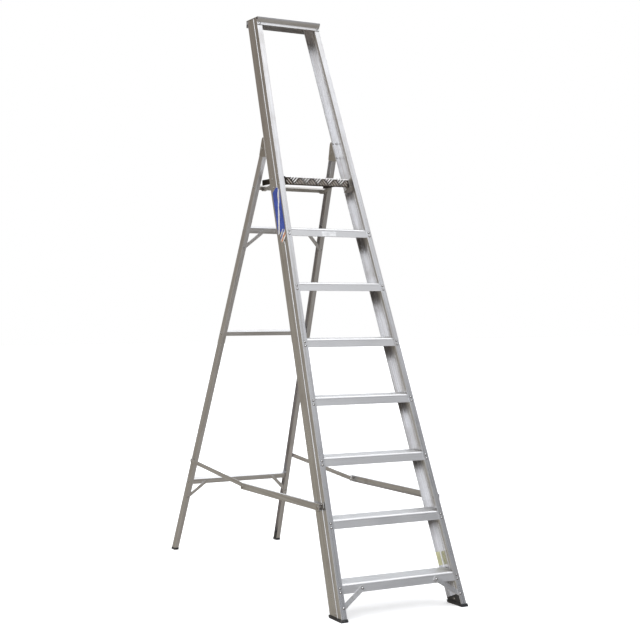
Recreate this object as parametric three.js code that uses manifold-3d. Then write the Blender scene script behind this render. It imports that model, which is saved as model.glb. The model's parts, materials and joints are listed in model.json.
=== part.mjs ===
// Folding aluminium platform step ladder, standing open: seven treads, a hinged chequer-plate
// platform, a handrail with a top cap, a swinging rear frame and folding side stays.
// Millimetres, +Z up. The climber stands on the -Y side and faces +Y; +X is to their right.
// The origin is on the floor, under the middle of the ladder's footprint.

import * as THREE from 'three';
import { mergeVertices } from 'three/addons/utils/BufferGeometryUtils.js';
import Module from 'manifold-3d';

const wasm = await Module();
wasm.setup();

// ---------------------------------------------------------------- driving dimensions

const GAP = 0.3;                        // kept between pieces that touch
const FRONT_LEAN = THREE.MathUtils.degToRad(22.2);
const REAR_LEAN = THREE.MathUtils.degToRad(22.4);
const FRONT_SPLAY = 0.0525;             // how far a stile comes in per unit of height
const REAR_SPLAY = 0.056;
const HALF_SPREAD = 290.3;              // outer face of a stile at the floor, from the middle
const FOOTPRINT_FRONT = -2.7;           // foremost and rearmost points of the feet,
const FOOTPRINT_BACK = 1711.5;          // measured from the stiles' front face at the floor

const RISE = 235;                       // from tread to tread
const TREADS = 7;
const FIRST_TREAD_TOP = 135;

const STILE_DEPTH = 90;
const STILE_FLANGE = 25;
const STILE_WALL = 2.5;
const STILE_TOP = 2515.5;
const BEAD = { at: 31, width: 9, proud: 2 };

const TREAD_FRONT = 36;                 // height of the tread's front face
const TREAD_BACK = 25;
const TREAD_WALL = 2.2;
const NOSE = 8;

const HINGE = { y: 905, z: 1907 };      // axis of the rear frame, from the same front face
const LEG_DEPTH = 34;
const LEG_WIDTH = 20.5;
const LEG_WALL = 2.2;
const LEG_TOP = 14;                     // how far a leg stands above the hinge axis

const PIVOT = { y: 753.5, z: 1757 };    // platform's axis
const PLATFORM = {
  top: 1776,
  front: 735,
  back: 968,
  halfWidth: 157,
  radius: 7,                            // of the front edge
  frontFoot: 1738,                      // lower edges of its front, side and rear lips
  sideFoot: 1750,
  rearFoot: 1760,
};
const SHEET = 2.5;

const STAY_PIN = { y: 209, z: 415 };    // stay joints: on the stile, at the knuckle, on the leg
const KNUCKLE = { y: 905, z: 411 };
const LEG_PIN = { y: 1507, z: 459 };
const FRONT_STAY_PLANE = 273.8;         // inner face of each stay, from the middle
const REAR_STAY_PLANE = 269.6;

const FRONT_TILT = Math.atan(FRONT_SPLAY * Math.cos(FRONT_LEAN));
const REAR_TILT = Math.atan(REAR_SPLAY * Math.cos(REAR_LEAN));

// ---------------------------------------------------------------- materials

function finish(color, roughness, metalness) {
  return new THREE.MeshStandardMaterial({ color, roughness, metalness });
}

const aluminium = finish(0xb9bbbd, 0.38, 0.9);
const tread = finish(0xc4c4c2, 0.42, 0.85);
const chequerPlate = finish(0x9c978f, 0.4, 0.85);
const steel = finish(0x85827d, 0.4, 0.9);
const blackPlastic = finish(0x17171a, 0.6, 0);
const blueVinyl = finish(0x2c4495, 0.45, 0);

// ---------------------------------------------------------------- geometry helpers

function bare(geometry) {
  const plain = geometry.clone();
  plain.deleteAttribute('normal');
  plain.deleteAttribute('uv');
  return mergeVertices(plain, 1e-3);
}

function solid(geometry) {
  const plain = bare(geometry);
  const corners = plain.index.array;
  const kept = [];
  for (let i = 0; i < corners.length; i += 3) {
    const [a, b, c] = corners.slice(i, i + 3);
    if (a !== b && b !== c && c !== a) kept.push(a, b, c);
  }
  return new wasm.Manifold(new wasm.Mesh({
    numProp: 3,
    vertProperties: new Float32Array(plain.attributes.position.array),
    triVerts: new Uint32Array(kept),
  }));
}

function geometryOf(manifold) {
  const mesh = manifold.getMesh();
  const geometry = new THREE.BufferGeometry();
  geometry.setAttribute('position', new THREE.BufferAttribute(mesh.vertProperties, 3));
  geometry.setIndex(new THREE.BufferAttribute(mesh.triVerts, 1));
  geometry.computeVertexNormals();
  return geometry;
}

function cut(base, ...tools) {
  return geometryOf(tools.reduce((left, tool) => left.subtract(solid(tool)), solid(base)));
}

function join(base, ...others) {
  return geometryOf(others.reduce((sum, other) => sum.add(solid(other)), solid(base)));
}

function common(a, b) {
  return geometryOf(solid(a).intersect(solid(b)));
}

// The same piece for the left-hand side: faces are turned over so that they still point out.
function mirrored(geometry) {
  const plain = bare(geometry);
  plain.scale(-1, 1, 1);
  const corners = plain.index.array;
  for (let i = 0; i < corners.length; i += 3) {
    [corners[i], corners[i + 1]] = [corners[i + 1], corners[i]];
  }
  plain.computeVertexNormals();
  return plain;
}

function outline(points) {
  return new THREE.Shape(points.map(([x, y]) => new THREE.Vector2(x, y)));
}

function withHole(shape, x, y, radius) {
  shape.holes.push(new THREE.Path().absarc(x, y, radius, 0, 2 * Math.PI));
  return shape;
}

const extrusion = (depth) => ({ depth, bevelEnabled: false, curveSegments: 4 });

// An outline drawn in X and Y, extruded from one height to another.
function alongZ(shape, from, to) {
  return new THREE.ExtrudeGeometry(shape, extrusion(to - from)).translate(0, 0, from);
}

// An outline drawn in Y and Z, extruded from one X to another.
function alongX(shape, from, to) {
  const yzToXY = new THREE.Matrix4().makeBasis(
    new THREE.Vector3(0, 1, 0),
    new THREE.Vector3(0, 0, 1),
    new THREE.Vector3(1, 0, 0),
  );
  return new THREE.ExtrudeGeometry(shape, extrusion(to - from))
    .applyMatrix4(yzToXY)
    .translate(from, 0, 0);
}

function block(x0, x1, y0, y1, z0, z1) {
  return new THREE.BoxGeometry(x1 - x0, y1 - y0, z1 - z0)
    .translate((x0 + x1) / 2, (y0 + y1) / 2, (z0 + z1) / 2);
}

const ROUND = 12;                       // sides of a pin or a small hole

// A round piece turned about the X axis, from a profile of radius and X.
function turned(profile) {
  return new THREE.LatheGeometry(profile.map(([r, x]) => new THREE.Vector2(r, x)), ROUND)
    .rotateZ(-Math.PI / 2);
}

function domedHead(radius, height, at) {
  return [[radius, at], [radius * 0.75, at + height * 0.75], [0, at + height]];
}

// A pin along X, with a flat head at its inner end and a domed one at its outer end.
function pin(radius, headRadius, headHeight, from, to) {
  return turned([
    [0, from - headHeight],
    [headRadius, from - headHeight],
    [headRadius, from],
    [radius, from],
    [radius, to],
    ...domedHead(headRadius, headHeight, to),
  ]);
}

// A screw along X whose shank ends bare at its inner end.
function screw(radius, headRadius, headHeight, from, to) {
  return turned([[0, from], [radius, from], [radius, to], ...domedHead(headRadius, headHeight, to)]);
}

function drill(radius, from, to) {
  return turned([[0, from], [radius, from], [radius, to], [0, to]]);
}

// A level hole across the right-hand side of the ladder, moved into a piece's own frame.
function crossHole(radius, { y, z }, into = new THREE.Matrix4()) {
  return drill(radius, 0, 1000).translate(0, y, z).applyMatrix4(into);
}

// ---------------------------------------------------------------- frames of reference

// Front frame: x across, y back from the stiles' front face, z up along their lean.
const frontFrame = new THREE.Group();
frontFrame.rotation.x = -FRONT_LEAN;
const intoFront = new THREE.Matrix4().makeRotationX(FRONT_LEAN);

// Rear frame: the same for the rear legs, with its origin on the hinge axis.
const rearFrame = new THREE.Group();
rearFrame.position.set(0, HINGE.y, HINGE.z);
rearFrame.rotation.x = REAR_LEAN;
const intoRear = new THREE.Matrix4().makeRotationX(-REAR_LEAN)
  .multiply(new THREE.Matrix4().makeTranslation(0, -HINGE.y, -HINGE.z));

const ladder = new THREE.Group();
ladder.position.y = -(FOOTPRINT_FRONT + FOOTPRINT_BACK) / 2;
ladder.add(frontFrame, rearFrame);

// A stile's own frame: x = 0 on its outer face, z along the stile.
const intoStile = new THREE.Matrix4().makeRotationY(FRONT_TILT)
  .multiply(new THREE.Matrix4().makeTranslation(-HALF_SPREAD, 0, 0))
  .multiply(intoFront);

// The right-hand hinge point, in the stile's frame; the rear legs hang from it.
const HINGE_IN_STILE = (() => {
  const inFront = new THREE.Vector3(0, HINGE.y, HINGE.z).applyMatrix4(intoFront);
  const z = (inFront.z + STILE_FLANGE / 2 * Math.sin(FRONT_TILT)) / Math.cos(FRONT_TILT);
  return { y: inFront.y, z };
})();
const LEG_X = HALF_SPREAD - STILE_FLANGE / 2 * Math.cos(FRONT_TILT)
  - HINGE_IN_STILE.z * Math.sin(FRONT_TILT);

// A leg's own frame: x = 0 in its middle, z along the leg, origin on the hinge axis.
const intoLeg = new THREE.Matrix4().makeRotationY(REAR_TILT)
  .multiply(new THREE.Matrix4().makeTranslation(-LEG_X, 0, 0))
  .multiply(intoRear);

const sides = ['left', 'right'].map((name) => {
  const hand = name === 'left' ? -1 : 1;
  const stileFrame = new THREE.Group();
  stileFrame.position.x = hand * HALF_SPREAD;
  stileFrame.rotation.y = -hand * FRONT_TILT;
  frontFrame.add(stileFrame);
  const legFrame = new THREE.Group();
  legFrame.position.x = hand * LEG_X;
  legFrame.rotation.y = -hand * REAR_TILT;
  rearFrame.add(legFrame);
  return { name, hand, stileFrame, legFrame };
});

function piece(name, geometry, material, parent, x = 0, y = 0, z = 0) {
  const mesh = new THREE.Mesh(geometry, material);
  mesh.name = name;
  mesh.position.set(x, y, z);
  parent.add(mesh);
}

// The same piece on both sides. The geometry is the right-hand one, and place picks the
// group of each side that it belongs to.
function pair(name, geometry, material, place) {
  for (const side of sides) {
    const shape = side.hand > 0 ? geometry : mirrored(geometry);
    piece(`${side.name}_${name}`, shape, material, place(side));
  }
}

const onStile = (side) => side.stileFrame;
const onLeg = (side) => side.legFrame;
const inFrontFrame = () => frontFrame;
const inRearFrame = () => rearFrame;
const onLadder = () => ladder;

// Outer face of a stile at a height and depth of the standing ladder.
function stileFace(z, depth = 0) {
  return HALF_SPREAD - FRONT_SPLAY * (z + depth * Math.sin(FRONT_LEAN));
}

// ---------------------------------------------------------------- stiles and front feet

const SLAB = 4000;                      // larger than the ladder, for level cuts
const levelCut = (from, to) => block(-SLAB, SLAB, -SLAB, SLAB, from, to);

const FRONT_FOOT = { lip: 11, flare: 2.5, plug: 58, inset: 1 };

function stileSection() {
  const { at, width, proud } = BEAD;
  const rib = { from: 50, to: 53, proud: 2 };
  const inner = -STILE_WALL;
  const tip = -STILE_FLANGE;
  return outline([
    [0, 0],
    [0, at - width / 2],
    [proud, at - width / 2 + proud],
    [proud, at + width / 2 - proud],
    [0, at + width / 2],
    [0, STILE_DEPTH],
    [tip, STILE_DEPTH],
    [tip, STILE_DEPTH - STILE_WALL],
    [inner, STILE_DEPTH - STILE_WALL],
    [inner, rib.to],
    [inner - rib.proud, rib.to],
    [inner - rib.proud, rib.from],
    [inner, rib.from],
    [inner, STILE_WALL],
    [tip, STILE_WALL],
    [tip, 0],
  ]);
}

const FOOT_SCREW = { radius: 2, length: 12, depth: 40, along: 42 };

const atFootScrew = (geometry) => geometry.translate(0, FOOT_SCREW.depth, FOOT_SCREW.along);

function footScrewHole() {
  return atFootScrew(drill(FOOT_SCREW.radius + GAP, -FOOT_SCREW.length - 1, BEAD.proud + 1));
}

function stile() {
  const length = STILE_TOP / Math.cos(FRONT_LEAN) + 2 * STILE_DEPTH;
  const floorCut = levelCut(-SLAB, FRONT_FOOT.lip + GAP).applyMatrix4(intoStile);
  const topCut = levelCut(STILE_TOP, 2 * SLAB).applyMatrix4(intoStile);
  return cut(alongZ(stileSection(), -STILE_DEPTH, length), floorCut, topCut, footScrewHole());
}

// A moulded plug inside the foot of the stile, with a wider sole under it.
function frontFoot() {
  const { lip, flare, plug, inset } = FRONT_FOOT;
  const clear = STILE_WALL + GAP;
  const sole = common(
    block(-STILE_FLANGE - flare, BEAD.proud + flare, -flare, STILE_DEPTH + flare, -SLAB, SLAB),
    levelCut(0, lip).applyMatrix4(intoStile),
  );
  const insert = common(
    block(
      inset - STILE_FLANGE,
      -clear - BEAD.proud,
      clear + 3,
      STILE_DEPTH - clear,
      -SLAB,
      plug,
    ),
    levelCut(lip / 2, SLAB).applyMatrix4(intoStile),
  );
  return cut(join(sole, insert), footScrewHole());
}

pair('stile', stile(), aluminium, onStile);
pair('front_foot', frontFoot(), blackPlastic, onStile);
pair(
  'foot_screw',
  atFootScrew(screw(FOOT_SCREW.radius, 4.2, 1.6, -FOOT_SCREW.length, GAP)),
  steel,
  onStile,
);

// ---------------------------------------------------------------- treads and top cap

// Back from the stiles' front face, level, to a plane at a depth inside them.
function backTo(depth, z) {
  return z * Math.tan(FRONT_LEAN) + depth / Math.cos(FRONT_LEAN);
}

// Section of a tread in Y and Z. Its origin is where its top meets the stiles' front face.
function treadSection() {
  const front = STILE_WALL + GAP;
  const back = STILE_DEPTH - front;
  const under = -TREAD_WALL;
  const lipBack = front + 9;
  const shape = new THREE.Shape();
  shape.moveTo(backTo(front, -TREAD_FRONT), -TREAD_FRONT);
  shape.lineTo(backTo(front, -NOSE), -NOSE);
  shape.quadraticCurveTo(backTo(front, 0), 0, backTo(front, 0) + NOSE, 0);
  shape.lineTo(backTo(back, 0), 0);
  shape.lineTo(backTo(back, -TREAD_BACK), -TREAD_BACK);
  shape.lineTo(backTo(back - TREAD_WALL, -TREAD_BACK), -TREAD_BACK);
  shape.lineTo(backTo(back - TREAD_WALL, under), under);
  for (const share of [0.68, 0.36]) {
    const rib = backTo(front + share * (back - front), 0);
    shape.lineTo(rib + 1, under);
    shape.lineTo(rib + 1, under - 7);
    shape.lineTo(rib - 1, under - 7);
    shape.lineTo(rib - 1, under);
  }
  shape.lineTo(backTo(front + TREAD_WALL, -NOSE) + 2, under);
  shape.lineTo(backTo(front + TREAD_WALL, -NOSE), -NOSE);
  shape.lineTo(backTo(front + TREAD_WALL, TREAD_WALL - TREAD_FRONT), TREAD_WALL - TREAD_FRONT);
  shape.lineTo(backTo(lipBack, TREAD_WALL - TREAD_FRONT), TREAD_WALL - TREAD_FRONT);
  shape.lineTo(backTo(lipBack, -TREAD_FRONT), -TREAD_FRONT);
  shape.closePath();
  return shape;
}

const TREAD_END_GAP = 2.6;              // clears the rib inside each stile

for (let number = 1; number <= TREADS; number += 1) {
  const top = FIRST_TREAD_TOP + (number - 1) * RISE;
  const half = stileFace(top, STILE_DEPTH) - STILE_WALL - TREAD_END_GAP;
  const geometry = alongX(treadSection(), -half, half);
  piece(`tread_${number}`, geometry, tread, ladder, 0, top * Math.tan(FRONT_LEAN), top);
}

const CAP = {
  sheet: 3,
  nose: -21,                            // overhang in front of the stiles
  noseFoot: -4,
  lipTop: -20,                          // the front lip lies on the stiles' front faces
  lipFoot: -32,
  rearFoot: -29,
  overhang: 3,                          // beyond each stile's outer face
};

// Section of the cap, drawn from the point where the stiles' front face ends.
function capSection() {
  const { sheet, nose, noseFoot, lipTop, lipFoot, rearFoot } = CAP;
  const top = GAP + sheet;
  const tail = backTo(STILE_DEPTH + GAP, 0) + sheet;
  const lip = (z) => backTo(-GAP, z);
  return outline([
    [lip(lipFoot) - sheet, lipFoot],
    [lip(lipFoot), lipFoot],
    [lip(lipTop), lipTop],
    [nose + sheet, noseFoot + sheet / 3],
    [nose + sheet, GAP],
    [tail - sheet, GAP],
    [tail - sheet, rearFoot],
    [tail, rearFoot],
    [tail, top],
    [nose + 1, top],
    [nose, top - 1],
    [nose, noseFoot],
    [lip(lipTop) - sheet, lipTop],
  ]);
}

const CAP_HALF = stileFace(STILE_TOP, STILE_DEPTH / 2) + CAP.overhang;
piece(
  'top_cap',
  alongX(capSection(), -CAP_HALF, CAP_HALF),
  aluminium,
  ladder,
  0,
  STILE_TOP * Math.tan(FRONT_LEAN),
  STILE_TOP,
);

// ---------------------------------------------------------------- flat braces

// A flat bar from one point to another in its frame's X and Z, round-ended, between two depths.
function flatBar(from, to, width, depthFrom, depthTo) {
  const [dx, dz] = [to[0] - from[0], to[1] - from[1]];
  const length = Math.hypot(dx, dz);
  const half = width / 2;
  const shape = new THREE.Shape();
  shape.moveTo(0, -half);
  shape.lineTo(length, -half);
  shape.absarc(length, 0, half, -Math.PI / 2, Math.PI / 2);
  shape.lineTo(0, half);
  shape.absarc(0, 0, half, Math.PI / 2, 3 * Math.PI / 2);
  return alongZ(shape, -depthTo, -depthFrom)
    .rotateX(Math.PI / 2)
    .rotateY(-Math.atan2(dz, dx))
    .translate(from[0], 0, from[1]);
}

// From the front of the lowest tread down to the inside of each stile's front flange. The bar
// is joggled: its upper end lies on the tread, its lower end behind the flange.
const FRONT_BRACE = { tread: [172, 123], stile: [271, 55], width: 20, sheet: 2.4, joggle: 12 };

function frontBrace() {
  const { width, sheet, joggle } = FRONT_BRACE;
  const [dx, dz] = [0, 1].map((i) => FRONT_BRACE.stile[i] - FRONT_BRACE.tread[i]);
  const length = Math.hypot(dx, dz);
  const onTread = STILE_WALL - sheet;
  const inStile = STILE_WALL + GAP;
  const bend = { from: length / 2, to: length / 2 + joggle };
  const end = width / 2;
  const side = outline([
    [-end, onTread],
    [bend.from, onTread],
    [bend.to, inStile],
    [length + end, inStile],
    [length + end, inStile + sheet],
    [bend.to, inStile + sheet],
    [bend.from, onTread + sheet],
    [-end, onTread + sheet],
  ]);
  return alongZ(side, -width / 2, width / 2)
    .rotateY(-Math.atan2(dz, dx))
    .translate(FRONT_BRACE.tread[0], 0, FRONT_BRACE.tread[1]);
}

pair('front_brace', frontBrace(), aluminium, inFrontFrame);

// ---------------------------------------------------------------- hinges of the rear frame

const HINGE_PIN = { radius: 5, head: 8, headHeight: 2 };
const PIN_CLEARANCE = 0.6;
const CHEEK = 2.5;
const CLEVIS_INSIDE = 23.5;
const BASE = { foot: -52, top: 45 };    // hinge bracket on the stile, from the hinge's height


// A pressed clevis on each stile's rear flange, with a cheek on either side of the leg.
function hingeBracket() {
  const middle = -STILE_FLANGE / 2;
  const outside = CLEVIS_INSIDE / 2 + CHEEK;
  const { y, z } = HINGE_IN_STILE;
  const seat = STILE_DEPTH + GAP;
  const [foot, top] = [z + BASE.foot, z + BASE.top];
  const base = block(middle - outside, middle + outside, seat, seat + CHEEK, foot, top);
  const corner = { y: y + 31, z: z - 14 };
  const cheek = () => outline([
    [seat, foot],
    [seat + 12, foot + 2],
    [corner.y - 1, corner.z - 6],
    [corner.y, corner.z],
    [y - 12, top - 3],
    [y - 19, top],
    [seat, top],
  ]);
  const outer = alongX(cheek(), middle + outside - CHEEK, middle + outside);
  const inner = alongX(cheek(), middle - outside, middle - outside + CHEEK);
  return cut(join(base, outer, inner), crossHole(HINGE_PIN.radius + PIN_CLEARANCE, HINGE, intoStile));
}

// The pin is level and the cheeks lean with the stile, so its heads stand a little clear of them.
function hingePin() {
  const reach = CLEVIS_INSIDE / 2 + CHEEK + 0.7;
  const { radius, head, headHeight } = HINGE_PIN;
  return pin(radius, head, headHeight, LEG_X - reach, LEG_X + reach);
}

pair('hinge_bracket', hingeBracket(), steel, onStile);
pair('hinge_pin', hingePin(), steel, inRearFrame);

// ---------------------------------------------------------------- rear legs and their feet

const REAR_FOOT = { lip: 10, flare: 1, plug: 40, inset: 0.5 };
const LEG_END = -HINGE.z / Math.cos(REAR_LEAN);

function legSection() {
  const half = LEG_WIDTH / 2;
  const deep = LEG_DEPTH / 2;
  return outline([
    [-half, -deep],
    [half, -deep],
    [half, deep],
    [-half, deep],
    [-half, deep - LEG_WALL],
    [half - LEG_WALL, deep - LEG_WALL],
    [half - LEG_WALL, LEG_WALL - deep],
    [-half, LEG_WALL - deep],
  ]);
}

function rearLeg() {
  const floorCut = levelCut(-SLAB, REAR_FOOT.lip + GAP).applyMatrix4(intoLeg);
  const pinHole = crossHole(HINGE_PIN.radius + PIN_CLEARANCE, HINGE, intoLeg);
  return cut(alongZ(legSection(), LEG_END - LEG_DEPTH, LEG_TOP), floorCut, pinHole);
}

function rearFoot() {
  const { lip, flare, plug, inset } = REAR_FOOT;
  const half = LEG_WIDTH / 2;
  const deep = LEG_DEPTH / 2;
  const clear = LEG_WALL + GAP;
  const sole = common(
    block(-half - flare, half + flare, -deep - flare, deep + flare, -SLAB, SLAB),
    levelCut(0, lip).applyMatrix4(intoLeg),
  );
  const insert = common(
    block(inset - half, half - clear, clear - deep, deep - clear, -SLAB, LEG_END + plug),
    levelCut(lip / 2, SLAB).applyMatrix4(intoLeg),
  );
  return join(sole, insert);
}

// A sleeve round the hinge pin keeps the open side of the leg off the inner cheek.
const BUSH = { wall: 3, endGap: 0.8 };

function hingeBush() {
  const inside = HINGE_PIN.radius + PIN_CLEARANCE;
  const outside = inside + BUSH.wall;
  const from = LEG_X - LEG_WIDTH / 2 + BUSH.endGap;
  const to = LEG_X + LEG_WIDTH / 2 - LEG_WALL - BUSH.endGap;
  return turned([[inside, from], [outside, from], [outside, to], [inside, to], [inside, from]]);
}

pair('rear_leg', rearLeg(), aluminium, onLeg);
pair('rear_foot', rearFoot(), blackPlastic, onLeg);
pair('hinge_bush', hingeBush(), steel, inRearFrame);

// ---------------------------------------------------------------- rear frame: bars and braces

// Middle of a leg, from the ladder's middle, at a place along it.
const legX = (along) => LEG_X - along * Math.tan(REAR_TILT);

const BAR = { front: -10, back: 14, wall: 2, endGap: 2 };
const barHalf = (along) => legX(along) + LEG_WIDTH / 2 - LEG_WALL - BAR.endGap;

// A folded channel, open underneath, in the rear frame's Y and Z.
function barSection(along, height) {
  const { front, back, wall } = BAR;
  const top = along + height / 2;
  const foot = along - height / 2;
  return outline([
    [front, foot],
    [front + wall, foot],
    [front + wall, top - wall],
    [back - wall, top - wall],
    [back - wall, foot],
    [back, foot],
    [back, top],
    [front, top],
  ]);
}

const BARS = {
  platform_support_bar: { along: -180, height: 15 },
  upper_cross_bar: { along: -381, height: 27 },
  middle_cross_bar: { along: -894, height: 20 },
  lower_cross_bar: { along: -1679, height: 26 },
};

for (const [name, { along, height }] of Object.entries(BARS)) {
  const half = barHalf(along + height / 2);
  piece(name, alongX(barSection(along, height), -half, half), aluminium, rearFrame);
}

// Flat knee braces between a bar's front and the inside of each leg's front flange.
const KNEE = { width: 16, sheet: 3, below: 3 };

function kneeBrace(bar, inset, drop) {
  const { along } = BARS[bar];
  const { width, sheet, below } = KNEE;
  const foot = along - drop;
  const back = BAR.front - GAP;
  return flatBar(
    [legX(foot) - inset, along - below],
    [legX(foot), foot],
    width,
    back - sheet,
    back,
  );
}

pair('upper_knee_brace', kneeBrace('upper_cross_bar', 84, 84), aluminium, inRearFrame);
pair('lower_knee_brace', kneeBrace('lower_cross_bar', 82, 81), aluminium, inRearFrame);

// ---------------------------------------------------------------- platform

function platformTray() {
  const { top, front, back, halfWidth, radius, frontFoot, sideFoot, rearFoot } = PLATFORM;
  const profile = new THREE.Shape();
  profile.moveTo(front, frontFoot);
  profile.lineTo(front, top - radius);
  profile.quadraticCurveTo(front, top, front + radius, top);
  profile.lineTo(back, top);
  profile.lineTo(back, rearFoot);
  profile.lineTo(back - SHEET, rearFoot);
  profile.lineTo(back - SHEET, top - SHEET);
  profile.lineTo(front + radius, top - SHEET);
  profile.lineTo(front + SHEET, top - radius);
  profile.lineTo(front + SHEET, frontFoot);
  profile.closePath();
  const side = () => outline([
    [front + 1, frontFoot],
    [front + 14, frontFoot],
    [front + 30, sideFoot - 3],
    [front + 60, sideFoot],
    [back - 1, sideFoot],
    [back - 1, top - 1],
    [front + 4, top - 1],
    [front + 1, top - radius],
  ]);
  const tray = join(
    alongX(profile, -halfWidth, halfWidth),
    alongX(side(), -halfWidth, SHEET - halfWidth),
    alongX(side(), halfWidth - SHEET, halfWidth),
  );
  const hole = () => crossHole(PLATFORM_PIN.radius + PLATFORM_PIN.clearance, PIVOT);
  return cut(tray, hole(), mirrored(hole()));
}

const PLATFORM_PIN = { radius: 4, head: 7, headHeight: 3, clearance: 0.5 };
const LUG = { from: 160.5, sheet: 3, halfWidth: 15, high: 13, chamfer: 9 };

// The pivot's place in the stile's frame.
const PIVOT_IN_STILE = new THREE.Vector3(LUG.from, PIVOT.y, PIVOT.z).applyMatrix4(intoStile);

// A folded bracket inside each stile: a plate on the web, a shelf and a lug by the platform.
function platformBracket() {
  const { x, y, z } = PIVOT_IN_STILE;
  const web = -STILE_WALL - GAP;
  const sheet = 3;
  const rib = 2;
  const [front, back] = [STILE_WALL + 5, STILE_DEPTH - STILE_WALL - 5];
  const foot = z - 26;
  const { halfWidth, high, chamfer } = LUG;
  const plate = block(web - rib - sheet, web - rib, front, back, foot, z + 30);
  const shelf = block(x, web - rib, front + 8, back - 8, foot, foot + sheet);
  const lug = alongX(outline([
    [y - halfWidth, foot],
    [y + halfWidth, foot],
    [y + halfWidth, z + high - chamfer],
    [y + halfWidth - chamfer, z + high],
    [y - halfWidth + chamfer, z + high],
    [y - halfWidth, z + high - chamfer],
  ]), x, x + LUG.sheet);
  const hole = crossHole(PLATFORM_PIN.radius + PLATFORM_PIN.clearance, PIVOT, intoStile);
  return cut(join(plate, shelf, lug), hole);
}

function platformPin() {
  const { radius, head, headHeight } = PLATFORM_PIN;
  const from = PLATFORM.halfWidth - SHEET - GAP;
  const to = LUG.from + LUG.sheet + 1.5;
  return pin(radius, head, headHeight, from, to)
    .translate(0, PIVOT.y, PIVOT.z);
}

piece('platform_tray', platformTray(), chequerPlate, ladder);
pair('platform_bracket', platformBracket(), aluminium, onStile);
pair('platform_pin', platformPin(), steel, onLadder);

// A bent strap bolted under each end of the support bar carries the platform's side lip, and
// pushes it up as the rear frame folds.
const STRAP = { from: 141, to: 157, sheet: 3, bolt: 3, tip: { y: 885, z: 1749 } };
const STRAP_TOP = BARS.platform_support_bar.along - BARS.platform_support_bar.height / 2 - GAP;

function platformStrap() {
  const tip = new THREE.Vector3(0, STRAP.tip.y, STRAP.tip.z).applyMatrix4(intoRear);
  const shape = strip([
    [BAR.back - 1, STRAP_TOP],
    [BAR.front - 4, STRAP_TOP],
    [tip.y, tip.z],
  ], STRAP.sheet);
  return alongX(shape, STRAP.from, STRAP.to);
}

// The bolt's head and shank end, under the strap.
function strapBolt() {
  const { from, to, sheet, bolt } = STRAP;
  return screw(bolt, 5.5, 3, 0, GAP)
    .rotateZ(-Math.PI / 2)
    .rotateX(Math.PI / 2)
    .translate((from + to) / 2, (BAR.front + BAR.back) / 2, STRAP_TOP - sheet - GAP);
}

// A strip of one thickness under a run of points.
function strip(points, thickness) {
  const lower = points.map(([y, z], i) => {
    const [a, b] = [points[Math.max(i - 1, 0)], points[Math.min(i + 1, points.length - 1)]];
    const [dy, dz] = [b[0] - a[0], b[1] - a[1]];
    const run = Math.hypot(dy, dz);
    return [y - dz / run * thickness, z + dy / run * thickness];
  });
  return outline([...points, ...lower.reverse()]);
}

pair('platform_strap', platformStrap(), steel, inRearFrame);
pair('strap_bolt', strapBolt(), steel, inRearFrame);

// ---------------------------------------------------------------- side stays

const STAY = { height: 28, depth: 12, wall: 2, end: 15 };
const STAY_BOLT = { radius: 4, head: 7.5, headHeight: 3, clearance: 0.4 };
const REAR_STAY = { height: 20, sheet: 3 };

function between(a, b) {
  const [dy, dz] = [b.y - a.y, b.z - a.z];
  return { length: Math.hypot(dy, dz), angle: Math.atan2(dz, dy) };
}

// Right-hand arm between two pins, drawn level from the origin and then put in place.
function putBetween(geometry, a, b) {
  return geometry.rotateX(between(a, b).angle).translate(0, a.y, a.z);
}

// The wide arm: a channel, open towards the ladder, from the stile back to the knuckle.
function frontStay() {
  const { length } = between(STAY_PIN, KNUCKLE);
  const { height, depth, wall, end } = STAY;
  const [inside, outside] = [FRONT_STAY_PLANE, FRONT_STAY_PLANE + depth];
  const bar = block(inside, outside, -end, length + end, -height / 2, height / 2);
  const hollow = block(
    inside - 1,
    outside - wall,
    -end - 1,
    length + end + 1,
    wall - height / 2,
    height / 2 - wall,
  );
  const hole = (y) => crossHole(STAY_BOLT.radius + STAY_BOLT.clearance, { y, z: 0 });
  return putBetween(cut(bar, hollow, hole(0), hole(length)), STAY_PIN, KNUCKLE);
}

// The thin arm: a round-ended flat bar from the leg forward to the knuckle.
function rearStay() {
  const { length } = between(LEG_PIN, KNUCKLE);
  const half = REAR_STAY.height / 2;
  const shape = new THREE.Shape();
  shape.moveTo(0, -half);
  shape.lineTo(length, -half);
  shape.absarc(length, 0, half, -Math.PI / 2, Math.PI / 2);
  shape.lineTo(0, half);
  shape.absarc(0, 0, half, Math.PI / 2, 3 * Math.PI / 2);
  withHole(shape, 0, 0, STAY_BOLT.radius + STAY_BOLT.clearance);
  withHole(shape, length, 0, STAY_BOLT.radius + STAY_BOLT.clearance);
  const arm = alongX(shape, REAR_STAY_PLANE, REAR_STAY_PLANE + REAR_STAY.sheet);
  return putBetween(arm, LEG_PIN, KNUCKLE);
}

// A plate on the outside of each stile, over its bead, that carries the wide arm's pin.
const STAY_PLATE = { sheet: 3, halfDepth: 30, halfHeight: 13 };

const STAY_PIN_IN_STILE = new THREE.Vector3(FRONT_STAY_PLANE, STAY_PIN.y, STAY_PIN.z)
  .applyMatrix4(intoStile);

function stayPlate() {
  const { y, z } = STAY_PIN_IN_STILE;
  const { sheet, halfDepth, halfHeight } = STAY_PLATE;
  const inside = BEAD.proud + GAP;
  const plate = block(
    inside,
    inside + sheet,
    y - halfDepth,
    y + halfDepth,
    z - halfHeight,
    z + halfHeight,
  );
  return cut(plate, crossHole(STAY_BOLT.radius + STAY_BOLT.clearance, STAY_PIN, intoStile));
}

function stayBolt(from, to, at) {
  const { radius, head, headHeight } = STAY_BOLT;
  return screw(radius, head, headHeight, from, to).translate(0, at.y, at.z);
}

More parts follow.
